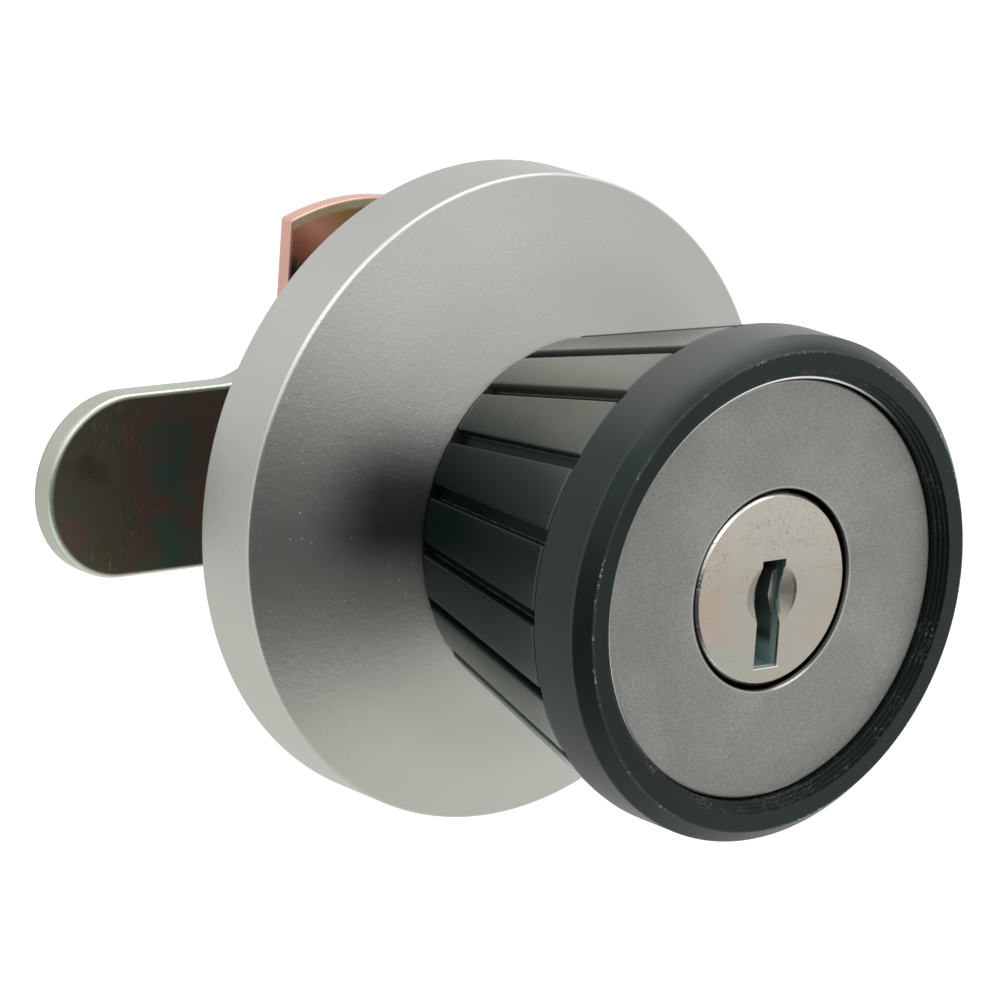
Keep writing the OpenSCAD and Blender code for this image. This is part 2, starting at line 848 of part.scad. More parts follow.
module coil(d, wire_d, h, turns) {
    steps = 9 * turns;
    sides = 5;
    points = [for (i = [0:steps]) each coil_ring((d - wire_d) / 2, wire_d / 2, h, turns, i / steps, sides)];
    walls = [
        for (i = [0:steps - 1], k = [0:sides - 1])
            let (n = (k + 1) % sides)
            [i * sides + n, (i + 1) * sides + n, (i + 1) * sides + k, i * sides + k]
    ];
    polyhedron(
        points,
        concat(walls, [[for (k = [sides - 1:-1:0]) k], [for (k = [0:sides - 1]) steps * sides + k]]),
        convexity = 10
    );
}

module wafer_springs() {
    gap = 0.02;
    color(steel) on_axis() for (i = [0:4])
        translate([wafer_x - wafer_w / 2 - ledge_w / 2, -spring_foot + gap, z_wafer(i)])
            rotate([-90, 0, 0])
                coil(wafer_spring_d, wafer_wire_d, spring_foot + ledge_y - 2 * gap, 5);
}

module lock_bolt() {
    half = crank_pin_d / 2 + crank_room;
    pin_y = -bolt_travel / 2;
    pin_x = crank_r * cos(key_turn / 2);
    color(steel) on_axis() translate([0, 0, z_slot + slide_gap]) linear_extrude(bolt_t) difference() {
        intersection() {
            circle(r = core_rear_r - 0.1);
            translate([-bolt_w / 2, -bolt_w / 2])
                square([bolt_w, core_rear_d]);
        }
        translate([-crank_r - half, pin_y - half])
            square([crank_r + half - pin_x + half, 2 * half]);
    }
}

rosette();
threaded_bush();
lock_washer();
fixing_nut();
grip();
front_ring();
knob_core();
core_circlip();
plug_pin();
spindle();
dished_washer();
spindle_circlip();
cam();
cam_spacer();
rod_plate();
flat_washer();
spring_washer();
cam_screw();
key_plug();
wafer_springs();
wafer(0);  // wafer_1
wafer(1);  // wafer_2
wafer(2);  // wafer_3
wafer(3);  // wafer_4
wafer(4);  // wafer_5
lock_bolt();
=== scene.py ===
"""Locking knob for a steel cupboard door, dressed for the camera.

Every shape is worked out in millimetres in the maker's frame: x to the right, h upwards
and s forwards out of the door. The door's frame has Y pointing back through the door.
"""
import json
import bmesh
import bpy
import numpy as np
from mathutils import Matrix


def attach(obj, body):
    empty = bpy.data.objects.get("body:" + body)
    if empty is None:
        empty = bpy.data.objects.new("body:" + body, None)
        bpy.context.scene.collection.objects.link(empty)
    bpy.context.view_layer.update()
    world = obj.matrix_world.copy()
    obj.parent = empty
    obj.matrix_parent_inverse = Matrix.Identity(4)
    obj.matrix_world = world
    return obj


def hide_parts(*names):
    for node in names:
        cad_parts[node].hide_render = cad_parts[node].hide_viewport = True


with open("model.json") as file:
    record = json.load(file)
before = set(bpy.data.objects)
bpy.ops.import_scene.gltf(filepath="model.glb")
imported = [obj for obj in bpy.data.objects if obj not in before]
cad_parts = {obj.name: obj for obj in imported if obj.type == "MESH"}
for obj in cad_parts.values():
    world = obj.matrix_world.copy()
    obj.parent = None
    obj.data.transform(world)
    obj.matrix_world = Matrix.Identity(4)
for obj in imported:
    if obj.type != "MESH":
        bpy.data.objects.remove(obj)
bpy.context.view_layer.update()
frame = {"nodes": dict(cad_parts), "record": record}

MM = 0.001
BODY_OF = {n: b for b, nodes in frame["record"]["behaviour"]["bodies"].items() for n in nodes}
SLOT_OF = {p["node"]: p["material_slot"] for p in frame["record"]["subparts"]}


# ---------------------------------------------------------------- shapes

def to_door(p):
    """Maker's millimetres (x, h, s) to the door's metres (x, -s, h)."""
    p = np.asarray(p, float)
    return np.stack([p[..., 0], -p[..., 2], p[..., 1]], -1) * MM


def grid_quads(n, m, offset=0):
    """Quads of an n by m grid that closes on itself both ways."""
    i, j = np.meshgrid(np.arange(n), np.arange(m), indexing="ij")
    a, b = (i + 1) % n, (j + 1) % m
    return offset + np.stack([i * m + j, a * m + j, a * m + b, i * m + b], -1).reshape(-1, 4)


def outward(points, quads):
    """The same quads, turned over if the volume they enclose comes out negative."""
    p = points[quads]
    six = np.einsum("ij,ij->", p[:, 0], np.cross(p[:, 1], p[:, 2]) + np.cross(p[:, 2], p[:, 3]))
    return quads if six > 0 else quads[:, ::-1]


def link_piece(name, mesh):
    """A new object that holds the mesh, in the scene's collection."""
    piece = bpy.data.objects.new(name, mesh)
    bpy.context.collection.objects.link(piece)
    return piece


def build(name, shells, sharp, marks=None):
    """One mesh object from closed grids (n, m, 3), smooth but for edges over sharp degrees.

    Each of the marks is a value per point of the first grids, kept as an attribute for the finish.
    """
    points, quads, start = [], [], 0
    for g in shells:
        p = to_door(g).reshape(-1, 3)
        points.append(p)
        quads.append(outward(p, grid_quads(g.shape[0], g.shape[1])) + start)
        start += len(p)
    points, quads = np.concatenate(points), np.concatenate(quads)
    mesh = bpy.data.meshes.new(name)
    mesh.vertices.add(len(points))
    mesh.vertices.foreach_set("co", points.ravel())
    mesh.loops.add(quads.size)
    mesh.loops.foreach_set("vertex_index", quads.ravel())
    mesh.polygons.add(len(quads))
    mesh.polygons.foreach_set("loop_start", np.arange(0, quads.size, 4))
    mesh.update(calc_edges=True)
    for key, values in (marks or {}).items():
        layer = mesh.attributes.new(key, "FLOAT", "POINT")
        full = np.zeros(len(points))
        full[:values.size] = values.ravel()
        layer.data.foreach_set("value", full)
    mesh.validate()
    finish_shading(mesh, sharp)
    return link_piece(name, mesh)


def finish_shading(mesh, sharp):
    """Smooth faces with hard edges where two faces meet at more than sharp degrees."""
    mesh.polygons.foreach_set("use_smooth", np.ones(len(mesh.polygons), bool))
    mesh.set_sharp_from_angle(angle=np.radians(sharp))


def stand_in(piece, node):
    """The piece takes the node's place, body, slot and finish."""
    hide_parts(node)
    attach(piece, BODY_OF[node])
    piece.data.materials.clear()
    piece.data.materials.append(FINISH[SLOT_OF[node]])
    return piece


def rounded(points, radii, n=5, lead=0.1):
    """Closed line through points with each corner swapped for an arc of its radius.

    The arc touches both sides at radius * tan(half the turn); a support point sits lead
    beyond each end so that flats stay flat. Neither takes more than its share of a side.
    Returns the line and each arc point's corner, else -1.
    """
    arc_share, lead_share = 0.45, 0.49
    p = np.asarray(points, float)
    line, owner = [], []
    for k in range(len(p)):
        a, b, c = p[k - 1], p[k], p[(k + 1) % len(p)]
        u, v = b - a, c - b
        lu, lv = np.hypot(*u), np.hypot(*v)
        u, v = u / lu, v / lv
        turn = np.arctan2(u[0] * v[1] - u[1] * v[0], u @ v)
        r = radii[k] if np.ndim(radii) else radii
        t = min(r * np.tan(abs(turn) / 2), arc_share * lu, arc_share * lv)
        r = t / np.tan(abs(turn) / 2)
        side = np.sign(turn) * np.array([-u[1], u[0]])
        centre = b - u * t + side * r
        at = np.linspace(0, turn, n + 1)
        arm = -side * r
        arc = centre + np.stack([arm[0] * np.cos(at) - arm[1] * np.sin(at),
                                 arm[0] * np.sin(at) + arm[1] * np.cos(at)], -1)
        before = b - u * min(t + lead, lead_share * lu)
        after = b + v * min(t + lead, lead_share * lv)
        line += [before, *arc, after]
        owner += [-1] + [k] * len(arc) + [-1]
    return np.array(line), np.array(owner)


def turned(r, a, s):
    """Points at radius r and angle a from the axis and height s along it."""
    return np.stack([r * np.cos(a), r * np.sin(a), np.broadcast_to(s, r.shape)], -1)


def lathe(line, count, radius_at=None):
    """Surface of revolution: (r, s) of the line carried round the axis."""
    a = np.linspace(0, 2 * np.pi, count, endpoint=False)[:, None]
    r = np.broadcast_to(line[:, 0], (count, len(line))).copy()
    if radius_at is not None:
        r = radius_at(r, a)
    return turned(r, a, line[:, 1])


ROLL_STEPS = 5
ROLLED_ROWS = slice(5, 18)


def slab(outline, s0, s1, hole, roll_front, roll_back):
    """Plate between s0 and s1: outline and hole joined by flat faces, edges rolled over.

    Each row is the outline moved in by roll * (1 - sin t) while s moves by roll * (1 - cos t).
    The ROLLED_ROWS are the two rolls and the rim between them, without the front face's border.
    """
    lead, inner, clear = 0.1, 0.9, 1.4
    nxt, prv = np.roll(outline, -1, 0), np.roll(outline, 1, 0)
    tangent = nxt - prv
    normal = np.stack([tangent[:, 1], -tangent[:, 0]], -1)
    normal /= np.hypot(*normal.T)[:, None]
    t = np.linspace(0, np.pi / 2, ROLL_STEPS + 1)
    rows = [(hole, s0), (hole, s1),
            (hole + inner * (outline - normal * roll_front * clear - hole), s1),
            (outline - normal * (roll_front + lead), s1)]
    rows += [(outline - normal * roll_front * (1 - np.sin(x)), s1 - roll_front * (1 - np.cos(x)))
             for x in t]
    rows += [(outline, s1 - roll_front - lead), (outline, s0 + roll_back + lead)]
    rows += [(outline - normal * roll_back * (1 - np.cos(x)), s0 + roll_back * (1 - np.sin(x)))
             for x in t]
    rows += [(outline - normal * (roll_back + lead), s0),
             (hole + inner * (outline - normal * roll_back * clear - hole), s0)]
    return np.stack([np.concatenate([xy, np.full((len(xy), 1), s)], 1) for xy, s in rows], 1)


def dress(node, bevel, segments=3, sharp=35):
    """A merged copy of the CAD node, its flats joined and its edges broken by a small round."""
    merge_within, flat_within = 2e-6, np.radians(0.4)
    source = frame["nodes"][node]
    made = bmesh.new()
    made.from_mesh(source.data)
    bmesh.ops.transform(made, matrix=source.matrix_world, verts=made.verts)
    bmesh.ops.remove_doubles(made, verts=made.verts, dist=merge_within)
    bmesh.ops.dissolve_limit(made, angle_limit=flat_within, verts=made.verts, edges=made.edges)
    mesh = bpy.data.meshes.new(node + "_dressed")
    made.to_mesh(mesh)
    made.free()
    finish_shading(mesh, sharp)
    piece = link_piece(node + "_dressed", mesh)
    edge = piece.modifiers.new("broken_edges", "BEVEL")
    edge.limit_method = "ANGLE"
    edge.angle_limit = np.radians(sharp)
    edge.width = bevel * MM
    edge.segments = segments
    edge.use_clamp_overlap = True
    edge.harden_normals = True
    return stand_in(piece, node)


# ---------------------------------------------------------------- finishes

class Wire:
    """An output socket; the signs + - * ** between wires and numbers add Math nodes."""

    def __init__(self, paint, socket):
        self.paint, self.socket = paint, socket

    def sign(self, kind, a, b):
        return self.paint.add("ShaderNodeMath", {"operation": kind}, {0: a, 1: b})

    def __add__(self, o): return self.sign("ADD", self, o)
    def __radd__(self, o): return self.sign("ADD", o, self)
    def __sub__(self, o): return self.sign("SUBTRACT", self, o)
    def __rsub__(self, o): return self.sign("SUBTRACT", o, self)
    def __mul__(self, o): return self.sign("MULTIPLY", self, o)
    def __pow__(self, o): return self.sign("POWER", self, o)

    def size(self):
        """The value without its sign: the root of its square."""
        return (self ** 2.0) ** 0.5

    def step(self, lo, hi):
        """0 below lo, 1 above hi, smooth between; with lo over hi it falls instead."""
        if lo > hi:
            return 1.0 - self.step(hi, lo)
        return self.paint.add("ShaderNodeMapRange", {"interpolation_type": "SMOOTHSTEP"},
                              {"Value": self, "From Min": lo, "From Max": hi})


class Paint:
    """A material under construction round one Principled shader.

    Its places are x, h and s of the maker's frame, y, which is s the other way round, and r, the
    distance from the knob's axis, all in millimetres and worked out from the Object coordinates.
    """

    def __init__(self, name, colour, metallic, rough, **fixed):
        self.material = bpy.data.materials.new(name)
        self.material.use_nodes = True
        self.tree = self.material.node_tree
        self.shader = self.tree.nodes["Principled BSDF"]
        self.put("Base Color", (*colour, 1))
        self.put("Metallic", metallic)
        self.put("Roughness", rough)
        for key, value in fixed.items():
            self.put(key.replace("_", " "), value)
        self.here = self.add("ShaderNodeTexCoord", {}, {}, "Object")

    def link(self, socket, value):
        if isinstance(value, Wire):
            self.tree.links.new(value.socket, socket)
        else:
            socket.default_value = value

    def put(self, socket, value):
        self.link(self.shader.inputs[socket], value)

    def add(self, kind, settings, sockets, out=0):
        """Adds a node: its settings first, then the values or wires of its sockets."""
        node = self.tree.nodes.new(kind)
        for key, value in settings.items():
            if key == "stops":
                ramp = node.color_ramp.elements
                while len(ramp) < len(value):
                    ramp.new(0.5)
                for stop, (at, colour) in zip(ramp, value):
                    stop.position = at
                    stop.color = (*colour, 1)
            else:
                setattr(node, key, value)
        for key, value in sockets.items():
            self.link(node.inputs[key], value)
        return Wire(self, node.outputs[out])

    def mark(self, name):
        """A value stored on the piece's points."""
        return self.add("ShaderNodeAttribute", {"attribute_name": name}, {}, "Fac")

    def split(self, i):
        """One of the Object coordinates in metres."""
        return self.add("ShaderNodeSeparateXYZ", {}, {0: self.here}, i)

    @property
    def x(self): return self.split(0) * (1 / MM)

    @property
    def y(self): return self.split(1) * (1 / MM)

    @property
    def s(self): return self.y * -1.0

    @property
    def h(self): return self.split(2) * (1 / MM)

    @property
    def r(self):
        x, z = self.split(0), self.split(2)
        return (x * x + z * z) ** 0.5 * (1 / MM)

    def stretch(self, x=1.0, y=1.0, z=1.0, turn=(0, 0, 0)):
        """Object coordinates, turned and then scaled along each axis."""
        return self.add("ShaderNodeMapping", {},
                        {"Vector": self.here, "Rotation": turn, "Scale": (x, y, z)})

    def noise(self, size, detail=3.0, rough=0.55, at=None, warp=0.0):
        """Cloudy value around 0.5 whose blots are about size millimetres wide."""
        return self.add("ShaderNodeTexNoise", {},
                        {"Vector": at or self.here, "Scale": 1 / MM / size, "Detail": detail,
                         "Roughness": rough, "Distortion": warp})

    def cells(self, size, out):
        """Distance to, or colour of, the nearest of points scattered size millimetres apart."""
        scatter = {"Vector": self.here, "Scale": 1 / MM / size}
        return self.add("ShaderNodeTexVoronoi", {}, scatter, out)

    def specks(self, spacing, radius, share):
        """Round specks of radius mm scattered spacing mm apart, only a share of them kept."""
        near = self.cells(spacing, "Distance")
        pick = self.add("ShaderNodeSeparateColor", {}, {0: self.cells(spacing, "Color")})
        spot = near.step(radius / spacing * 1.3, radius / spacing * 0.7)
        return spot * pick.step(1 - share, 1 - share + 0.01)

    def scratches(self, length, width, share, turn):
        """Fine straight marks: noise drawn out along one turned axis, thresholded."""
        long = self.noise(1.0, 1.0, 0.4, self.stretch(1 / length, 1 / length, 1 / width, turn))
        return long.step(1 - share, 1 - share + 0.03)

    def mix(self, a, b, share):
        """Colour a turning into colour b by share."""
        a, b = ((*c, 1) if isinstance(c, tuple) else c for c in (a, b))
        return self.add("ShaderNodeMix", {"data_type": "RGBA"}, {0: share, 6: a, 7: b}, 2)

    def ramp(self, value, *stops):
        """Colour looked up between stops of (value, colour)."""
        return self.add("ShaderNodeValToRGB", {"stops": stops}, {0: value}, "Color")

    def shade_by_matt(self, colour, share):
        """Mixes a plain diffuse shader in by share: painted shade that takes the gloss away."""
        matt_shade = self.add("ShaderNodeBsdfDiffuse", {}, {"Color": (*colour, 1)}, "BSDF")
        gloss = Wire(self, self.shader.outputs["BSDF"])
        both = self.add("ShaderNodeMixShader", {}, {0: share, 1: gloss, 2: matt_shade})
        self.link(self.tree.nodes["Material Output"].inputs["Surface"], both)

    def bump(self, height, depth):
        """Height times depth in millimetres, as a Bump node on the shader's Normal."""
        relief = {"Height": height, "Distance": depth * MM, "Strength": 1.0}
        self.put("Normal", self.add("ShaderNodeBump", {}, relief))
        return self.material


def satin_chrome():
    """Satin plate on the rosette: clouded sheen, wiping marks, pits in relief, short scratches.

    The rim's edge carries a painted highlight, brightest above. The cone has painted shade round
    the grip's foot, at the level of the axis, and paler, greener painted light in its lower half.
    """
    dark_plate, pale_plate = (0.425, 0.428, 0.402), (0.478, 0.479, 0.453)
    painted_low_light, shaded = (0.57, 0.585, 0.50), (0.06, 0.07, 0.066)
    bare_and_highlight, wear_and_highlight = (0.88, 0.88, 0.86), (0.80, 0.80, 0.77)
    p = Paint("satin_chrome", (0.48, 0.48, 0.45), 1.0, 0.36)
    cloud = p.noise(9, 4)
    haze = p.noise(0.5, 5, 0.7)
    grit = p.noise(0.16, 3, 0.7)
    wipe = p.noise(1.0, 2, 0.5, p.stretch(0.35, 0.35, 3.0, (0.2, 0.5, 0.4)))
    where = p.noise(10, 2).step(0.50, 0.62)
    marks = p.scratches(1.0, 0.06, 0.16, (0.3, 0.9, 0.2)) * where
    pits = p.specks(0.7, 0.065, 0.40) * (0.4 + where * 0.6)
    # Painted highlight on the rim's edge, brightest above, where the roughness also drops.
    rim = p.mark("edge") * (0.25 + p.h.step(5.0, 15.0) * 0.75)
    # Painted shade round the grip's foot, strongest at the level of the axis.
    level = p.h.step(10.0, 3.0) * p.h.step(-4.0, 0.5)
    foot = p.r.step(23.0, 17.0) * (0.12 + level * 0.83)
    body = p.mix(dark_plate, pale_plate, cloud * 0.6 + grit.step(0.35, 0.65) * 0.4)
    # Painted light: the cone's lower half is made paler and greener.
    body = p.mix(body, painted_low_light, p.h.step(-1.0, -11.0) * 0.36)
    body = p.mix(body, bare_and_highlight, marks * 0.6 + pits * 0.4)
    body = p.mix(body, shaded, foot)
    p.put("Base Color", p.mix(body, wear_and_highlight, rim * 0.7))
    p.put("Roughness", 0.32 + cloud * 0.05 + haze * 0.06 + grit * 0.05 + wipe * 0.03
          + marks * 0.1 - rim * 0.14)
    return p.bump(haze * 0.9 + grit * 0.5 + wipe * 0.08 - marks * 0.6 + pits * 1.2, 0.025)


def black_grip():
    """Satin black moulding: spark texture, dust in the grooves' corners, lint, and paler edges with
    wear and a painted highlight.

    The panels at the upper left carry a painted sheen of warm grey, the lowest ones are a little
    paler with painted light, and the grooves and the panels at the left of the axis lose their
    gloss as painted shade.
    """
    deep, pale = (0.0024, 0.0082, 0.0074), (0.0046, 0.0110, 0.0098)
    matt_shade, painted_low_panel_light = (0.004, 0.009, 0.0085), (0.030, 0.037, 0.034)
    painted_sheen_grey, dusty = (0.14, 0.136, 0.105), (0.19, 0.215, 0.205)
    wear_and_highlight, fluff = (0.125, 0.145, 0.138), (0.45, 0.47, 0.44)
    p = Paint("black_grip", (0.004, 0.005, 0.005), 0.0, 0.28,
              Specular_IOR_Level=0.45, Specular_Tint=(0.78, 1.0, 0.92, 1))
    groove, edge, corner = p.mark("groove"), p.mark("edge"), p.mark("corner")
    grain = p.noise(0.14, 3, 0.6)
    cloud = p.noise(5, 3)
    dust = p.noise(1.1, 2, 0.5)
    lint = p.specks(1.2, 0.045, 0.35)
    # Painted sheen: the panels at the upper left are lightened to a warm grey.
    worn = p.x.step(-2.5, -6.5) * p.h.step(7.5, 15.0)
    # Painted shade: the grooves and the panels at the left of the axis lose their gloss.
    shade = p.x.step(-7.0, -12.5) * p.h.step(12.0, 6.0) * p.h.step(-9.0, -4.0)
    p.shade_by_matt(matt_shade, groove * (1.0 - corner) * 0.65 + shade * (1.0 - groove) * 0.5)
    body = p.mix(deep, pale, cloud)
    # Painted light: the lowest panels are made a little paler.
    body = p.mix(body, painted_low_panel_light, p.h.step(-5.0, -12.0))
    body = p.mix(body, painted_sheen_grey, worn * (0.45 + cloud * 0.6))
    body = p.mix(body, dusty, corner * (0.15 + dust.step(0.40, 0.65) * 0.35))
    # The edges are paler with wear and a painted highlight.
    body = p.mix(body, wear_and_highlight, edge * (0.75 + dust * 0.3))
    p.put("Base Color", p.mix(body, fluff, lint * 0.7))
    p.put("Roughness", 0.17 + cloud * 0.07 + grain * 0.06 - edge * 0.05)
    return p.bump(grain * 0.4 + cloud * 0.3, 0.007)


def black_ring():
    """Satin dark ring: turned lines, edges paler with wear and a painted highlight, nicks along the
    chamfer's inner edge.

    The barrel has painted light on top and painted shade on the land at the left. The lip of the
    bore has a painted highlight of bright metal at the upper left, and the steps inside the bevel
    are chafed in places.
    """
    land_r, steps_r, lip_r, lip_s = 18.4, 17.15, 16.50, 36.9
    deep, pale = (0.006, 0.0102, 0.0097), (0.0105, 0.0155, 0.0147)
    painted_left_shade, wear_and_highlight = (0.002, 0.005, 0.0045), (0.060, 0.074, 0.070)
    painted_top_light, chafed = (0.085, 0.087, 0.085), (0.10, 0.12, 0.115)
    nicked, bare_and_highlight, fluff = (0.34, 0.38, 0.36), (0.88, 0.88, 0.86), (0.25, 0.26, 0.24)
    p = Paint("black_ring", (0.010, 0.0115, 0.0115), 0.0, 0.36,
              Specular_IOR_Level=0.3, Specular_Tint=(0.80, 1.0, 0.93, 1))
    edge, worn = p.mark("edge"), p.mark("worn")
    grain = p.noise(0.14, 3, 0.6)
    cloud = p.noise(4, 4, 0.6)
    along = p.add("ShaderNodeCombineXYZ", {}, {0: p.r * MM, 1: p.y * MM})
    lines = p.noise(0.09, 1, 0.4, along)
    nick = p.noise(0.30, 4, 0.7).step(0.53, 0.58) * p.noise(3.0, 2).step(0.44, 0.58)
    # Painted highlight: the bore's lip at the upper left turns to bright metal, colour and all.
    lip = p.r.step(lip_r, lip_r - 0.06) * p.s.step(lip_s, lip_s + 0.1) * (p.h - p.x).step(0, 14)
    chafe = p.r.step(steps_r, steps_r - 0.15) * p.noise(0.25, 3, 0.7).step(0.55, 0.62)
    chafe = chafe * p.noise(2.5, 2).step(0.48, 0.6)
    lint = p.specks(1.7, 0.035, 0.25)
    body = p.mix(deep, pale, cloud)
    # Painted shade on the land at the left.
    body = p.mix(body, painted_left_shade, p.r.step(land_r, land_r - 0.2) * p.x.step(-4.0, -12.0))
    # The edges are paler with wear and a painted highlight.
    body = p.mix(body, wear_and_highlight, edge * 0.45)
    # Painted light on the top of the barrel.
    body = p.mix(body, painted_top_light, p.r.step(18.6, 19.4) * p.h.step(11.0, 18.0))
    body = p.mix(body, chafed, chafe)
    body = p.mix(body, nicked, worn * nick)
    body = p.mix(body, bare_and_highlight, lip)
    p.put("Base Color", p.mix(body, fluff, lint * 0.6))
    p.put("Roughness", 0.30 + cloud * 0.10 + lines * 0.06 - edge * 0.08)
    p.put("Metallic", lip)
    return p.bump(grain * 0.5 + lines * 0.4 - worn * nick * 2.0, 0.008)


def cast_face():
    """Grey face: blasted sandy grain over faint turning rings, clearer in some sectors.

    The face's two edges are paler. The plug's bore is painted dark as shade but for its first few
    tenths of a millimetre, which are left grey as painted light, most of all at the lower right,
    where a painted glint sits.
    """
    outer_r, bore_r, mouth_s = 15.9, 7.9, 36.23
    dark_sand, sand_grey = (0.25, 0.252, 0.237), (0.325, 0.327, 0.308)
    pale_sand, machined = (0.43, 0.432, 0.41), (0.50, 0.50, 0.47)
    gleam, shadow = (0.95, 0.92, 0.78), (0.015, 0.013, 0.010)
    p = Paint("cast_face", (0.27, 0.27, 0.25), 0.7, 0.5)
    sand = p.noise(0.14, 3, 0.65)
    coarse = p.noise(0.5, 3, 0.6)
    blot = p.noise(4.0, 4, 0.6)
    rings = p.noise(0.25, 2, 0.5, p.add("ShaderNodeCombineXYZ", {}, {0: p.r * MM}))
    sector = p.noise(9, 2).step(0.44, 0.64)
    specks = p.specks(0.8, 0.05, 0.4)
    tone = sand * 0.84 + coarse * 0.07 + blot * 0.07 + rings * sector * 0.14 - 0.02
    rim = p.r.step(outer_r, outer_r + 0.15) + p.r.step(bore_r + 0.12, bore_r + 0.02)
    bore = p.r.step(bore_r, bore_r - 0.05)
    mouth = p.s.step(mouth_s, mouth_s + 0.2)
    lower_right = p.x.step(-1.0, 2.5) * p.h.step(3.0, -1.5)
    # Painted shade in the plug's bore, lifted near its mouth as painted light, most at the lower
    # right.
    wall = bore * (1.0 - mouth * (0.25 + lower_right * 0.75))
    # Painted glint on the bore's edge at the lower right.
    glint = p.x.step(0.4, 1.6) * p.x.step(5.0, 3.4) * p.h.step(-4.6, -6.0)
    glint = glint * (rim + mouth * bore).step(0.0, 0.6)
    body = p.ramp(tone, (0.34, dark_sand), (0.50, sand_grey), (0.68, pale_sand))
    body = p.mix(body, machined, specks * 0.5 + rim * 0.8)
    p.put("Base Color", p.mix(p.mix(body, gleam, glint), shadow, wall))
    p.put("Roughness", 0.44 + sand * 0.14 - rings * sector * 0.05 - rim * 0.2)
    return p.bump(sand * 1.0 + coarse * 0.5 + rings * sector * 0.4 + specks * 0.6, 0.022)


def plug_nickel():
    """Warm satin nickel, peach at the left, hairlines, small dark pits in the upper half.

    The slot's walls and floor are painted teal light, with painted shade in the upper part, and a
    painted highlight runs along its lower end. The ward is plain metal. The head's bevel is paler
    with polish and a painted highlight, and beyond it the edge is painted dark as shade.
    """
    face_s, dimple_s, slot_x, slot_w, sill_h = 36.55, 36.42, 0.1, 1.32, -6.0
    side_r, bevel_r, crack_r, dimple_r = 7.15, 7.16, 7.34, 4.0
    cool, warm = (0.40, 0.395, 0.35), (0.475, 0.45, 0.395)
    peach, olive = (0.475, 0.395, 0.33), (0.40, 0.42, 0.355)
    painted_top_light, pitted, polish_and_highlight = (0.56, 0.525, 0.46), (0.17, 0.15, 0.12), (0.74, 0.74, 0.71)
    painted_slot_light, painted_slot_shade, ward_grey = (0.27, 0.40, 0.375), (0.045, 0.085, 0.08), (0.46, 0.47, 0.44)
    bright, grime_and_shade = (0.92, 0.93, 0.91), (0.05, 0.044, 0.032)
    p = Paint("plug_nickel", (0.47, 0.44, 0.38), 1.0, 0.3)
    blot = p.noise(3.4, 3, 0.5)
    tint = p.noise(4.1, 5, 0.6, warp=0.8)
    fine = p.noise(0.18, 4, 0.7)
    hair = p.scratches(4.0, 0.07, 0.30, (0.5, 0.3, 0.9))
    patch = p.h.step(-1.0, 2.0) * p.noise(2.2, 2).step(0.42, 0.56)
    pits = p.noise(0.15, 3, 0.7).step(0.60, 0.66) * patch + p.specks(0.8, 0.06, 0.3) * 0.5
    beside = (p.x - slot_x).size()
    behind_head = p.s.step(35.62, 35.3) * p.r.step(side_r, side_r - 0.1)
    in_slot = p.s.step(dimple_s, 36.2) * beside.step(slot_w, slot_w - 0.08)
    depth = (behind_head + in_slot).step(0.0, 1.0)
    bevel = p.r.step(bevel_r, bevel_r + 0.08)
    # Painted shade: the head's outer edge beyond the bevel is darkened like the gap.
    crack = p.r.step(crack_r, crack_r + 0.08)
    # Painted highlight along the slot's lower end.
    sill = p.h.step(sill_h, sill_h - 0.04) * p.h.step(sill_h - 0.16, sill_h - 0.12)
    sill = sill * p.s.step(35.8, 36.0) * beside.step(1.25, 1.2)
    ward = p.x.step(0.52, 0.60) * p.s.step(35.75, 35.55) * p.h.step(-5.0, -4.0)
    left = p.x.step(-1.5, -5.5) * p.h.step(-5.5, -1.5)
    low = p.x.step(1.5, -3.5) * p.h.step(-2.5, -5.5)
    dimple = p.r.step(dimple_r, dimple_r - 0.4) * p.s.step(face_s - 0.01, face_s - 0.15)
    body = p.mix(cool, warm, blot)
    body = p.mix(body, peach, (left + tint.step(0.44, 0.70)) * (0.3 + tint * 0.6))
    body = p.mix(body, olive, low * tint.step(0.25, 0.6))
    # Painted light on the plug's upper part.
    body = p.mix(body, painted_top_light, p.h.step(-1.0, 6.0) * 0.7)
    body = p.mix(body, pitted, pits * 0.6)
    # The bevel is paler with polish and a painted highlight.
    body = p.mix(body, polish_and_highlight, bevel)
    # Painted teal light low in the slot and painted shade higher up.
    body = p.mix(body, p.mix(painted_slot_light, painted_slot_shade, p.h.step(-4.5, 0.0)), depth)
    body = p.mix(p.mix(body, ward_grey, ward * 0.8), bright, sill)
    p.put("Base Color", p.mix(body, grime_and_shade, crack))
    p.put("Metallic", 1.0 - depth * (1.0 - ward) * 0.85)
    p.put("Roughness", 0.26 + blot * 0.08 + fine * 0.06 + dimple * 0.2 - bevel * 0.08)
    return p.bump(fine * 0.6 - hair * 0.6 - pits * 1.5, 0.009)


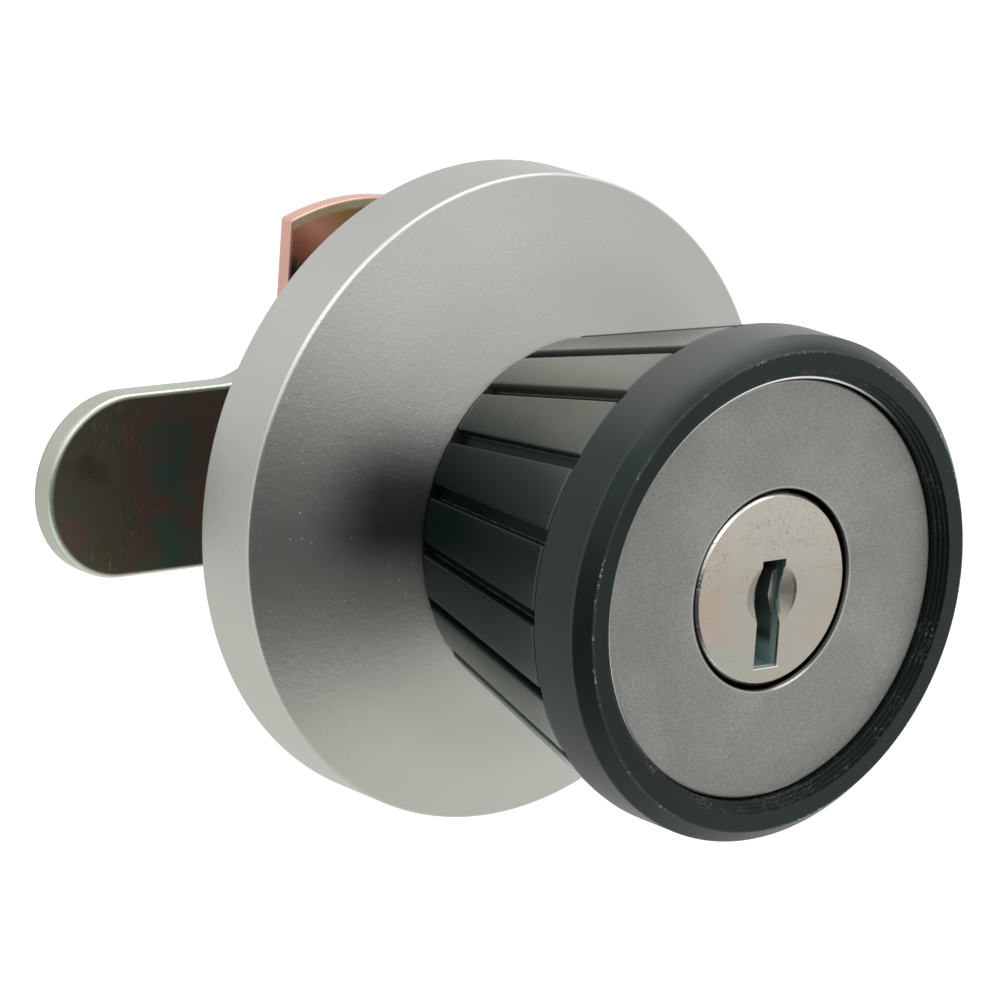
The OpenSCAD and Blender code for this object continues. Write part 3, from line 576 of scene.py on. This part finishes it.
def passivated(name, stops, seed, film_of, edge_of, edge_colour, line_of, line_colour):
    """Yellow chromate on zinc: colours that wander with the film's thickness, scuffs, speckle.

    film_of, edge_of and line_of give the film's thickness at a place of the plate, its edges and
    its bright line.
    """
    scuffed = (0.50, 0.47, 0.40)
    p = Paint(name, stops[1][1], 0.7, 0.34)
    film = p.noise(7.5, 4, 0.5, p.stretch(turn=seed), 1.0)
    fine = p.noise(0.3, 5, 0.7)
    where = p.noise(6.0, 2, 0.5, p.stretch(turn=seed)).step(0.5, 0.62)
    scuff = p.noise(0.5, 3, 0.6, p.stretch(2.2, 1, 0.35)).step(0.58, 0.70) * where
    specks = p.specks(0.7, 0.05, 0.3)
    body = p.ramp(film_of(p, film + fine * 0.12 - 0.06), *stops)
    body = p.mix(body, edge_colour, edge_of(p) * (0.70 + fine * 0.5))
    body = p.mix(body, line_colour, line_of(p) * (0.35 + fine * 0.9))
    p.put("Base Color", p.mix(body, scuffed, scuff * 0.35 + specks * 0.25))
    p.put("Roughness", 0.28 + fine * 0.12 + scuff * 0.12)
    return p.bump(fine * 0.8 - scuff * 0.5 - specks * 0.6, 0.008)


def tongue_film(p, film):
    """Olive at the tongue's tip and on the hub, red-brown to green where it meets the rosette."""
    return film * 0.6 + 0.17 + p.x.step(-32.0, -20.0) * p.x.step(-6.0, -14.0) * 0.15


def plate_film(p, film):
    """Thin and dark at the rod plate's left edge, thicker to the right and towards both ends."""
    return (p.x + 7.4) * 0.07 + (p.h.size() - 13.5) * 0.06 + film * 0.5 - 0.22


PLATE_SIDE_X, PLATE_END_R = 7.12, 19.95


def plate_edge(p):
    """1 on the rod plate's outer edges: beyond its half width or the radius of its ends."""
    return (p.x.size().step(PLATE_SIDE_X, PLATE_SIDE_X + 0.18)
            + p.r.step(PLATE_END_R, PLATE_END_R + 0.15))


def gold_line(p):
    """1 on the narrow bright band just inside the rod plate's round ends."""
    return (p.r.step(19.2, 19.6) * p.r.step(PLATE_END_R + 0.1, PLATE_END_R)
            * (1.0 - plate_edge(p)))


CAM_FRONT_S, CAM_BACK_S = -9.5, -11.5


def tongue_edge(p):
    """1 on the tongue's rim, fading to the film's own colour in a thin line at its back."""
    back = -CAM_BACK_S
    return p.mark("edge") * (1.0 - p.y.step(back - 0.25, back - 0.08) * 0.85)


def tongue_roll(p):
    """1 on the rolled corner between the rim and the face that looks forward."""
    front = -CAM_FRONT_S
    roll = p.mark("edge") * p.y.step(front + 0.32, front + 0.20)
    return roll * p.y.step(front + 0.04, front + 0.10)


def bright_metal(name, dark, light, rough):
    """Plated or bare small parts: two-tone blots, turning haze and pits."""
    grime_and_shade = (0.12, 0.11, 0.09)
    p = Paint(name, light, 1.0, rough)
    blot = p.noise(2.4, 4, 0.6)
    fine = p.noise(0.22, 4, 0.7)
    pits = p.specks(1.1, 0.06, 0.3)
    p.put("Base Color", p.mix(p.mix(dark, light, blot), grime_and_shade, pits * 0.5))
    p.put("Roughness", rough - 0.05 + fine * 0.12)
    return p.bump(fine * 0.7 - pits, 0.006)


TONGUE_FILM = ((0.34, (0.110, 0.100, 0.062)), (0.44, (0.165, 0.140, 0.092)),
               (0.50, (0.140, 0.142, 0.105)), (0.57, (0.205, 0.125, 0.10)),
               (0.66, (0.10, 0.155, 0.130)))
PLATE_FILM = ((0.15, (0.055, 0.052, 0.022)), (0.32, (0.62, 0.22, 0.14)),
              (0.50, (0.98, 0.44, 0.35)), (0.68, (0.62, 0.33, 0.12)),
              (0.85, (0.30, 0.28, 0.12)))
# The wafers are tinted like the teal light deep in the photograph's key slot.
FINISH = {
    "satin_chrome": satin_chrome(),
    "black_grip": black_grip(),
    "black_ring": black_ring(),
    "cast_face": cast_face(),
    "plug_nickel": plug_nickel(),
    "nickel": bright_metal("nickel", (0.52, 0.50, 0.45), (0.64, 0.61, 0.55), 0.32),
    "zinc_steel": bright_metal("zinc_steel", (0.44, 0.45, 0.45), (0.60, 0.60, 0.57), 0.36),
    "spring_steel": bright_metal("spring_steel", (0.12, 0.12, 0.125), (0.22, 0.215, 0.21), 0.38),
    "wafer_brass": bright_metal("wafer_brass", (0.16, 0.27, 0.255), (0.28, 0.38, 0.355), 0.36),
    "passivated_steel": passivated(
        "passivated_steel", TONGUE_FILM, (0.3, 0.7, 0.2), tongue_film,
        tongue_edge, (0.46, 0.47, 0.41), tongue_roll, (0.72, 0.80, 0.66)),
    "passivated_plate": passivated(
        "passivated_plate", PLATE_FILM, (1.1, 0.2, 0.6), plate_film,
        plate_edge, (0.72, 0.43, 0.36), gold_line, (0.82, 0.72, 0.46)),
}


# ---------------------------------------------------------------- pieces

def rosette():
    """Hollow conical casting: one closed line turned round the axis, with six ribs inside.

    Rim, straight cone to the neck, counterbore (seat), hub bore with two flats, and the cavity a
    wall's thickness below the face. A bore point at radius r moves in to the flat where
    flat_x / |cos a| is less than the bore. The ribs end short of the rim's plane and bite into
    the wall.
    """
    rim_r, rim_s, neck_r, neck_s = 26.0, 6.0, 14.2, 12.5
    seat_r, seat_s, bore_r, flat_x = 13.1, 8.4, 11.0, 10.3
    hub_r, cavity_r, wall = 14.5, 24.0, 2.0
    cone = np.arctan2(neck_s - rim_s, rim_r - neck_r)
    under = rim_s - wall / np.cos(cone)
    points = [(rim_r, 0.0), (rim_r, rim_s), (neck_r, neck_s), (seat_r, neck_s), (seat_r, seat_s),
              (bore_r, seat_s), (bore_r, 0.0), (hub_r, 0.0),
              (hub_r, under + (rim_r - hub_r) * np.tan(cone)),
              (cavity_r, under + (rim_r - cavity_r) * np.tan(cone)), (cavity_r, 0.0)]
    line, owner = rounded(points, [0.15, 0.26, 0.12, 0.1, 0.1, 0.1, 0.1, 0.15, 0.8, 0.8, 0.15])
    in_bore = line[:, 0] < bore_r + 0.35

    def flats(r, a):
        cut = flat_x / np.maximum(np.abs(np.cos(a)), 1e-6)
        return np.where(in_bore[None, :], r - bore_r + np.minimum(bore_r, cut), r)

    shells = [lathe(line, 360, flats)]
    edge = [np.broadcast_to((owner == 1) * 1.0, shells[0].shape[:2])]
    ribs, rib_from, rib_to, rib_half, rib_back, bite = 6, 13.9, 24.6, 0.75, 0.03, 0.4
    for i in range(ribs):
        turn = np.radians(30 + 360 / ribs * i)
        out = np.array([np.cos(turn), np.sin(turn)])
        across = np.array([-out[1], out[0]])
        u = np.array([rib_from, rib_to, rib_to, rib_from])
        w = np.array([-rib_half, -rib_half, rib_half, rib_half])
        low = np.full(4, rib_back)
        high = under + (rim_r - u) * np.tan(cone) + bite
        foot = u[:, None] * out + w[:, None] * across
        mid = foot.mean(0)
        rows = [(mid + 0 * foot, low), (foot, low), (foot, high),
                (mid + 0 * foot, high.mean() + 0 * high)]
        shells.append(np.stack([np.concatenate([xy, s[:, None]], 1) for xy, s in rows], 1))
        edge.append(np.zeros(shells[-1].shape[:2]))
    edge = np.concatenate([e.ravel() for e in edge])
    return stand_in(build("rosette_cast", shells, 50, {"edge": edge}), "rosette")


def grip():
    """Grooved conical sleeve.

    A closed line (outer cone, front seat, inner hollow, rear bearing) goes round the axis. Across
    each of the 20 pitches the columns crowd at the groove's walls: half holds their distances
    from the groove's middle and drop the share of its depth that they fall. The radius of the
    outer cone and of its two end edges drops by the groove's depth times drop.
    """
    grooves, depth, first_turn, pin_r = 20, 1.0, np.radians(3.4), 14
    rear, front, s0, s1 = 14.5, 19.5, 12.75, 32.15
    slope = (front - rear) / (s1 - s0)
    run = np.hypot(front - rear, s1 - s0)
    starts = [0.35, 0.7, 1.2, 1.9, 3, 5, 7.5, 10, 12.5, 15, 17, 18.6, 19.4, 19.75, 19.9]
    along = [(rear + (front - rear) * t, s0 + (s1 - s0) * t) for t in np.array(starts) / run]
    front_corner = [(19.38, 32.12), (19.28, s1)]
    inside = [(18.35, s1), (17.0, s1), (17.0, 29.2), (16.2, 29.2), (13.6, 20.3), (10.4, 20.3),
              (10.4, 18.3), (12.35, 18.3), (12.35, s0), (12.55, s0)]
    rear_corner = [(14.2, s0), (14.33, 12.78), (14.44, 12.87), (14.52, 13.0)]
    line = np.array(along + front_corner + inside + rear_corner)
    grooved = np.zeros(len(line))
    grooved[:len(along) + len(front_corner)] = 1.0
    grooved[-len(rear_corner):] = 1.0

    half = np.array([0.80, 0.70, 0.655, 0.625, 0.605, 0.595, 0.585, 0.565, 0.53, 0.45, 0.25])
    drop = np.array([0, 0.004, 0.02, 0.06, 0.16, 0.5, 0.86, 0.955, 0.99, 1.0, 1.0])
    # Share of edge wear and painted highlight across half a groove.
    rub_and_highlight = np.interp(half, [0.595, 0.605, 0.625, 0.655, 0.70], [0, 0.5, 1, 0.3, 0])
    dust = np.interp(half, [0.45, 0.53, 0.565, 0.585, 0.595], [0, 0.6, 1, 0.2, 0])
    land = np.linspace(0, 1, 8)[1:-1]

    def all_round(values, middle):
        """Values across half a groove, mirrored, with zeros on the land, for every pitch."""
        one = np.concatenate([values, [middle], values[::-1], np.zeros(len(land))])
        return np.tile(one, grooves)[:, None]

    pitch = 2 * np.pi / grooves
    u = np.concatenate([-half, [0.0], half[::-1]])
    reach = u[None, :] / np.maximum(line[:, 0], pin_r)[:, None]
    gap = pitch - 2 * reach[:, -1:]
    angles = np.concatenate([reach, reach[:, -1:] + gap * land[None, :]], 1)
    groove = (np.arange(grooves) * pitch + first_turn)[:, None, None]
    a = (groove + angles.T[None, :, :]).reshape(-1, len(line))
    cut = all_round(drop, 1.0) * grooved
    r = line[:, 0] - cut * depth / np.cos(np.arctan(slope))
    front_edge = np.zeros(len(line))
    front_edge[len(along) - 1:len(along) + 2] = 1.0
    edge = np.maximum(all_round(rub_and_highlight, 0.0) * grooved, front_edge * (1 - all_round(drop, 1.0)))
    marks = {"groove": cut, "edge": edge, "corner": all_round(dust, 0.0) * grooved}
    return stand_in(build("grip_moulding", [turned(r, a, line[:, 1])], 60, marks), "grip")


def front_ring():
    """Ring turned from one closed line: barrel, chamfer, land, stepped bevel, seat and spigot."""
    back_s, front_s, ring_r, land_r, step = 32.3, 37.85, 19.55, 18.5, 0.25
    seat_s, core_r, spigot_s, spigot_r = 32.6, 14.0, 29.3, 17.0
    bevel_r = [17.05 - step * i for i in range(4)]
    bevel_s = [front_s - step * i for i in range(4)]
    points = [(ring_r, back_s), (ring_r, 36.6), (land_r, front_s), (bevel_r[0], front_s)]
    for i in range(1, 4):
        points += [(bevel_r[i - 1], bevel_s[i]), (bevel_r[i], bevel_s[i])]
    points += [(bevel_r[3], seat_s), (core_r, seat_s), (core_r, 30.6), (15.5, 30.6),
               (15.5, spigot_s), (spigot_r, spigot_s), (spigot_r, back_s)]
    radii = [0.18, 0.22, 0.14, 0.04, 0.03, 0.04, 0.03, 0.04, 0.03, 0.05] + [0.1] * 7
    line, owner = rounded(points, radii, lead=0.06)
    shell = lathe(line, 384)
    edge = np.broadcast_to(np.isin(owner, [1, 2]) * 1.0, shell.shape[:2])
    worn = np.broadcast_to((owner == 2) * 1.0, shell.shape[:2])
    marks = {"edge": edge, "worn": worn}
    return stand_in(build("front_ring_turned", [shell], 60, marks), "front_ring")


def arc_points(centre, radius, a, b, n):
    """n points of an arc from angle a to angle b, in degrees."""
    at = np.radians(np.linspace(a, b, n))
    return np.asarray(centre) + radius * np.stack([np.cos(at), np.sin(at)], -1)


def even(line, count):
    """The closed line again with count points at equal distances."""
    loop = np.vstack([line, line[:1]])
    far = np.concatenate([[0], np.cumsum(np.hypot(*np.diff(loop, axis=0).T))])
    at = np.linspace(0, far[-1], count, endpoint=False)
    return np.stack([np.interp(at, far, loop[:, 0]), np.interp(at, far, loop[:, 1])], -1)


def cam():
    """Stamped cam: round hub, full-round tongue, hollow fillets, rolled front edge, square hole."""
    half, reach, hub, hollow, square_half = 7.4, 33.6, 16.0, 5.5, 4.05
    fy = half + hollow
    fx = np.sqrt((hub + hollow) ** 2 - fy ** 2)
    lean = np.degrees(np.arctan2(fy, fx))
    upper = arc_points((-fx, fy), hollow, -lean, -90, 20)
    tip = arc_points((half - reach, 0), half, 90, 270, 60)
    lower = arc_points((-fx, -fy), hollow, 90, lean, 20)
    round_hub = arc_points((0, 0), hub, 180 + lean, 540 - lean, 140)
    outline = even(np.concatenate([upper, tip, lower, round_hub]), 420)
    at = np.arctan2(outline[:, 1], outline[:, 0])
    square = square_half / np.maximum(np.abs(np.cos(at)), np.abs(np.sin(at)))
    hole = square[:, None] * np.stack([np.cos(at), np.sin(at)], -1)
    shell = slab(outline, CAM_BACK_S, CAM_FRONT_S, hole, roll_front=0.45, roll_back=0.12)
    edge = np.zeros(shell.shape[:2])
    edge[:, ROLLED_ROWS] = 1.0
    return stand_in(build("cam_stamped", [shell], 60, {"edge": edge}), "cam")


def threaded_bush():
    """Threaded barrel, flange, and a crown with the notches of the CAD node.

    Radius of the thread: the crest less its depth times a clipped triangle wave of
    (s / pitch - angle / turn), faded out at both ends, and never beyond the two flats. The crown
    is a tube whose front edge drops to the wide gap or to one of the two notches.
    """
    back_s, front_s, bore_r, crest_r, tooth, pitch, flat_x = -7.6, 8.3, 6.0, 10.9, 0.85, 1.5, 10.2
    fade_l, lead_l = 0.8, 0.5
    n, steps = 220, 190
    a = np.linspace(0, 2 * np.pi, n, endpoint=False)[:, None]
    s = np.linspace(back_s, front_s, steps)[None, :]
    phase = (s / pitch - a / (2 * np.pi)) % 1.0
    wave = np.clip(np.abs(phase - 0.5) * 2.6 - 0.25, 0, 1)
    fade = np.clip((s - back_s) / fade_l, 0, 1) * np.clip((front_s - s) / fade_l, 0, 1)
    lead = (1 - np.clip((s - back_s) / lead_l, 0, 1)) * 0.9
    r = crest_r - tooth * (wave * fade + lead)
    r = np.minimum(r, flat_x / np.maximum(np.abs(np.cos(a)), 1e-6))
    r = np.concatenate([r, np.full((n, 1), 9.0), np.full((n, 3), bore_r)], 1)
    barrel = turned(r, a, np.concatenate([s[0], [front_s, front_s, 0.0, back_s]]))

    flange_r, flange_back_s, flange_front_s = 12.9, 8.4, 10.4
    flange, _ = rounded([(bore_r, front_s), (flange_r, flange_back_s),
                         (flange_r, flange_front_s), (bore_r, flange_front_s)], 0.15)

    inner_r, outer_r, base_s, gap_s, notch_s, crown_s = 10.6, 12.25, 10.3, 11.3, 14.15, 16.8
    half_notch, gap_from, gap_to, turn_w = 18.7, 167.4, 282.6, 0.1
    ends = np.array([half_notch, 90 - half_notch, 90 + half_notch,
                     gap_from, gap_to, 360 - half_notch])
    ends = np.radians(np.concatenate([ends - turn_w, ends + turn_w]))
    at = np.sort(np.concatenate([np.linspace(0, 2 * np.pi, 240, endpoint=False), ends]))
    deg = np.degrees(at)
    off_top, off_right = (np.abs((deg - mid + 180) % 360 - 180) for mid in (90, 0))
    in_notch = (off_top < half_notch) | (off_right < half_notch)
    in_gap = (deg > gap_from) & (deg < gap_to)
    top = np.where(in_gap, gap_s, np.where(in_notch, notch_s, crown_s))[:, None]
    base = np.full_like(top, base_s)
    crown_r = np.array([inner_r, outer_r, outer_r, inner_r]) + 0 * top
    crown = turned(crown_r, at[:, None], np.concatenate([base, base, top, top], 1))
    piece = build("threaded_barrel", [barrel, lathe(flange, 200), crown], 40)
    return stand_in(piece, "threaded_bush")


rosette()
grip()
front_ring()
cam()
threaded_bush()
dress("knob_core", 0.18)
dress("key_plug", 0.08, sharp=14)
dress("rod_plate", 0.3, 4)
SMALL_PIECES = {"lock_washer": 0.08, "fixing_nut": 0.12, "cam_screw": 0.12, "spring_washer": 0.08,
                "flat_washer": 0.1, "cam_spacer": 0.12, "spindle": 0.1, "spindle_circlip": 0.06,
                "core_circlip": 0.06, "dished_washer": 0.05, "plug_pin": 0.08, "lock_bolt": 0.08}
for small, edge_round in SMALL_PIECES.items():
    dress(small, edge_round)
for i in range(1, 6):
    dress(f"wafer_{i}", 0.04, 2)
# The springs keep the CAD node's own mesh, and only take their finish.
for place in frame["nodes"]["wafer_springs"].material_slots:
    place.material = FINISH["spring_steel"]


# ---------------------------------------------------------------- studio

def sheet(name, corners, material):
    """Four-cornered stage sheet, which isn't part of the knob."""
    mesh = bpy.data.meshes.new(name)
    mesh.from_pydata(corners, [], [(0, 1, 2, 3)])
    mesh.materials.append(material)
    piece = link_piece(name, mesh)
    return piece


def placed(piece, x, y, z, at):
    """Puts the piece at a place in metres, with its own axes along x, y and z."""
    m = np.eye(4)
    m[:3, 0], m[:3, 1], m[:3, 2], m[:3, 3] = x, y, z, at
    piece.matrix_world = Matrix(m.tolist())
    return piece


def area(name, size, at, power):
    """Soft square lamp of size metres that looks at the knob, with its X axis level."""
    lamp = bpy.data.lights.new(name, "AREA")
    lamp.shape = "RECTANGLE"
    lamp.size = lamp.size_y = size
    lamp.energy = power
    z = np.array(at) / np.linalg.norm(at)
    x = np.cross((0.0, 0.0, 1.0), z)
    x /= np.linalg.norm(x)
    return placed(link_piece(name, lamp), x, np.cross(z, x), z, at)


def white_world():
    """Even white light, stronger where the camera, a gloss or a clear piece looks at it."""
    world = bpy.data.worlds.new("studio")
    bpy.context.scene.world = world
    world.use_nodes = True
    tree = world.node_tree
    tree.nodes.clear()
    path = tree.nodes.new("ShaderNodeLightPath")
    out = tree.nodes.new("ShaderNodeOutputWorld")
    plain, seen = tree.nodes.new("ShaderNodeBackground"), tree.nodes.new("ShaderNodeBackground")
    plain.inputs["Color"].default_value = seen.inputs["Color"].default_value = (1, 1, 1, 1)
    plain.inputs["Strength"].default_value = 0.6
    seen.inputs["Strength"].default_value = 1.0
    share = path.outputs["Is Camera Ray"]
    for other in ("Is Glossy Ray", "Is Transmission Ray"):
        either = tree.nodes.new("ShaderNodeMath")
        either.operation = "MAXIMUM"
        tree.links.new(share, either.inputs[0])
        tree.links.new(path.outputs[other], either.inputs[1])
        share = either.outputs[0]
    both = tree.nodes.new("ShaderNodeMixShader")
    tree.links.new(share, both.inputs[0])
    tree.links.new(plain.outputs[0], both.inputs[1])
    tree.links.new(seen.outputs[0], both.inputs[2])
    tree.links.new(both.outputs[0], out.inputs["Surface"])


def studio():
    """Pale floor that keeps the shadow, dark cloths in front that only reflections see, lamps."""
    floor_h, cloth_h, cloth_top, half_floor = -0.075, -0.072, 0.20, 4
    p = Paint("pale_floor", (0.82, 0.82, 0.81), 0.0, 0.9)
    seen_by = p.add("ShaderNodeLightPath", {}, {}, "Is Camera Ray")
    seen_by = seen_by + p.add("ShaderNodeLightPath", {}, {}, "Is Glossy Ray") * 0.6
    p.put("Emission Color", p.mix((0, 0, 0), (0.4, 0.4, 0.4), seen_by))
    p.put("Emission Strength", 1.0)
    signs = ((-1, -1), (1, -1), (1, 1), (-1, 1))
    sheet("floor", [(i * half_floor, j * half_floor, floor_h) for i, j in signs], p.material)

    q = Paint("dark_cloth", (0.03, 0.031, 0.03), 0.0, 0.95)
    q.put("Roughness", 0.9 + q.noise(20) * 0.1)
    left, right = (-2.2, -0.1), (0.75, -1.4)
    low = [(-0.30, -0.03, cloth_h), (-0.012, -0.072, cloth_h), (*right, cloth_h), (*left, cloth_h)]
    wall = [(*left, cloth_h), (*right, cloth_h), (*right, cloth_top), (*left, cloth_top)]
    for name, corners in (("cloth_low", low), ("cloth_wall", wall)):
        cloth = sheet(name, corners, q.material)
        cloth.visible_camera = cloth.visible_shadow = cloth.visible_diffuse = False

    area("key_lamp", 0.9, (0.5, -0.25, 1.45), 6.5)
    area("fill_lamp", 1.2, (-0.9, 0.5, 1.2), 2.5)
    area("front_lamp", 0.6, (-0.5, -0.92, 1.08), 2.0)


def camera():
    """The photograph's view: 216 mm lens, its axes and place set from measured ellipses."""
    lens = bpy.data.cameras.new("camera")
    lens.lens, lens.sensor_width = 216.0, 36.0
    lens.clip_start, lens.clip_end = 0.01, 50.0
    right = (0.77199811, -0.63198254, 0.06794841)
    up = (0.09824537, 0.22425568, 0.96956549)
    back = (-0.62798628, -0.74182711, 0.23521432)
    place = (-0.29723, -0.35559, 0.11084)
    bpy.context.scene.camera = placed(link_piece("camera", lens), right, up, back, place)


bpy.context.scene.view_settings.view_transform = "Standard"
white_world()
studio()
camera()
